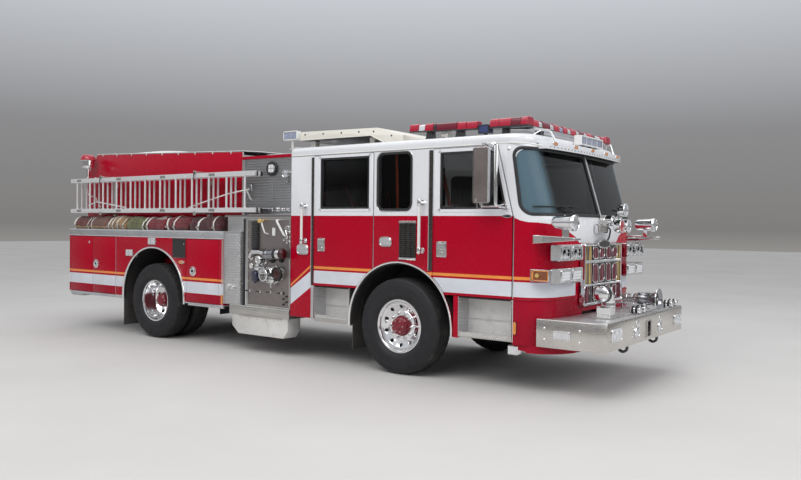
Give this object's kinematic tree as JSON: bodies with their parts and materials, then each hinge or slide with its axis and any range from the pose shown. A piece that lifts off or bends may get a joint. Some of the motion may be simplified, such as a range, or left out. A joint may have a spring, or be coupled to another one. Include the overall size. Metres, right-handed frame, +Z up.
{
  "type": "fire engine",
  "caption": "Custom-cab fire engine pumper with crew cab, side lockers, ladders, hose bed, side pump panels, warning lights and a front suction on the bumper.",
  "frame": {"origin": "on the ground under the middle of the whole vehicle", "axes": "+X forward, +Y to the vehicle's left, +Z up"},
  "size_m": [9.01, 2.86, 2.828],
  "materials": {
    "red_paint": "gloss",
    "white_paint": "gloss",
    "chassis_black": "satin",
    "engine_iron": "rough",
    "polished_aluminium": "polished",
    "tyre_rubber": "matte",
    "clear_glass": "clear",
    "floor_mat": "matte",
    "tread_plate": "tread plate",
    "chrome": "polished",
    "dark_plastic": "grained",
    "seat_cover": "grained",
    "stainless": "brushed",
    "red_lens": "gloss",
    "white_vinyl": "woven",
    "ladder_aluminium": "satin",
    "canvas": "woven",
    "hose_rubber": "ribbed",
    "flap_rubber": "matte"
  },
  "bodies": {
    "chassis": {"body_rear": "red_paint", "body_sides": "red_paint", "cab_back": "red_paint", "cab_floor": "floor_mat", "cab_glass": "clear_glass", "cab_nose": "red_paint", "cab_roof": "white_paint", "cab_sides": "red_paint", "cab_steps": "tread_plate", "dashboard": "dark_plastic", "deck_fittings": "chrome", "driveline": "engine_iron", "engine_block": "engine_iron", "frame_rails": "chassis_black", "front_axle": "chassis_black", "front_bumper": "stainless", "front_lamps": "chrome", "fuel_tank": "chassis_black", "grab_rails": "white_paint", "grille": "chrome", "hose_bed": "red_paint", "hose_bed_cover": "white_vinyl", "hose_bundles": "canvas", "ladders": "ladder_aluminium", "mudflaps": "flap_rubber", "pump_house": "stainless", "pump_valves": "chrome", "rear_axle": "chassis_black", "roof_box": "white_paint", "running_boards": "tread_plate", "seats": "seat_cover", "suction_elbow": "chrome", "suction_hoses": "hose_rubber", "tow_eyes": "chrome", "warning_lights": "red_lens"},
    "left_knuckle": {"left_knuckle": "chassis_black"},
    "right_knuckle": {"right_knuckle": "chassis_black"},
    "front_left_wheel": {"front_left_wheel": "polished_aluminium", "front_left_tyre": "tyre_rubber"},
    "front_right_wheel": {"front_right_wheel": "polished_aluminium", "front_right_tyre": "tyre_rubber"},
    "rear_left_wheels": {"rear_left_wheels": "polished_aluminium", "rear_left_tyres": "tyre_rubber"},
    "rear_right_wheels": {"rear_right_wheels": "polished_aluminium", "rear_right_tyres": "tyre_rubber"},
    "front_left_door": {"front_left_door": "red_paint", "left_mirror": "chrome"},
    "front_right_door": {"front_right_door": "red_paint", "right_mirror": "chrome"},
    "crew_left_door": {"crew_left_door": "red_paint"},
    "crew_right_door": {"crew_right_door": "red_paint"},
    "rear_locker_door": {"rear_locker_door": "red_paint"},
    "rotating_light": {"rotating_light": "chrome"},
    "rear_left_locker_door": {"rear_left_locker_door": "red_paint"},
    "rear_right_locker_door": {"rear_right_locker_door": "red_paint"},
    "middle_left_locker_door": {"middle_left_locker_door": "red_paint"},
    "middle_right_locker_door": {"middle_right_locker_door": "red_paint"},
    "forward_left_locker_door": {"forward_left_locker_door": "red_paint"},
    "forward_right_locker_door": {"forward_right_locker_door": "red_paint"}
  },
  "joints": [
    {"name": "left_steer", "type": "hinge", "parent": "chassis", "child": "left_knuckle", "pos_m": [2.11, 0.93, 0.538], "axis": [0, 0, 1], "range_deg": [-35, 35]},
    {"name": "front_left_roll", "type": "hinge", "parent": "left_knuckle", "child": "front_left_wheel", "pos_m": [2.11, 1.065, 0.538], "axis": [0, 1, 0], "continuous": true},
    {"name": "rear_left_roll", "type": "hinge", "parent": "chassis", "child": "rear_left_wheels", "pos_m": [-2.289, 1.065, 0.538], "axis": [0, 1, 0], "continuous": true},
    {"name": "front_left_door_hinge", "type": "hinge", "parent": "chassis", "child": "front_left_door", "pos_m": [3.536, 1.226, 1.7], "axis": [0, 0, -1], "range_deg": [0, 75]},
    {"name": "crew_left_door_hinge", "type": "hinge", "parent": "chassis", "child": "crew_left_door", "pos_m": [1.755, 1.226, 1.7], "axis": [0, 0, -1], "range_deg": [0, 80]},
    {"name": "rear_left_locker_hinge", "type": "hinge", "parent": "chassis", "child": "rear_left_locker_door", "pos_m": [-4.422, 1.222, 1], "axis": [0, 0, 1], "range_deg": [0, 110]},
    {"name": "middle_left_locker_hinge", "type": "hinge", "parent": "chassis", "child": "middle_left_locker_door", "pos_m": [-3.206, 1.222, 1], "axis": [0, 0, -1], "range_deg": [0, 110]},
    {"name": "forward_left_locker_hinge", "type": "hinge", "parent": "chassis", "child": "forward_left_locker_door", "pos_m": [-0.868, 1.222, 1], "axis": [0, 0, -1], "range_deg": [0, 110]},
    {"name": "right_steer", "type": "hinge", "parent": "chassis", "child": "right_knuckle", "pos_m": [2.11, -0.93, 0.538], "axis": [0, 0, 1], "range_deg": [-35, 35]},
    {"name": "front_right_roll", "type": "hinge", "parent": "right_knuckle", "child": "front_right_wheel", "pos_m": [2.11, -1.065, 0.538], "axis": [0, 1, 0], "continuous": true},
    {"name": "rear_right_roll", "type": "hinge", "parent": "chassis", "child": "rear_right_wheels", "pos_m": [-2.289, -1.065, 0.538], "axis": [0, 1, 0], "continuous": true},
    {"name": "front_right_door_hinge", "type": "hinge", "parent": "chassis", "child": "front_right_door", "pos_m": [3.536, -1.226, 1.7], "axis": [0, 0, 1], "range_deg": [0, 75]},
    {"name": "crew_right_door_hinge", "type": "hinge", "parent": "chassis", "child": "crew_right_door", "pos_m": [1.755, -1.226, 1.7], "axis": [0, 0, 1], "range_deg": [0, 80]},
    {"name": "rear_right_locker_hinge", "type": "hinge", "parent": "chassis", "child": "rear_right_locker_door", "pos_m": [-4.422, -1.222, 1], "axis": [0, 0, -1], "range_deg": [0, 110]},
    {"name": "middle_right_locker_hinge", "type": "hinge", "parent": "chassis", "child": "middle_right_locker_door", "pos_m": [-3.206, -1.222, 1], "axis": [0, 0, 1], "range_deg": [0, 110]},
    {"name": "forward_right_locker_hinge", "type": "hinge", "parent": "chassis", "child": "forward_right_locker_door", "pos_m": [-0.868, -1.222, 1], "axis": [0, 0, 1], "range_deg": [0, 110]},
    {"name": "rear_locker_hinge", "type": "hinge", "parent": "chassis", "child": "rear_locker_door", "pos_m": [-4.462, 0.562, 1.1], "axis": [0, 0, -1], "range_deg": [0, 100]},
    {"name": "light_spin", "type": "hinge", "parent": "chassis", "child": "rotating_light", "pos_m": [4.195, 0, 1.735], "axis": [1, 0, 0], "continuous": true}
  ],
  "couplings": [
    {"joint": "left_steer", "follows": "right_steer", "ratio": 1}
  ]
}
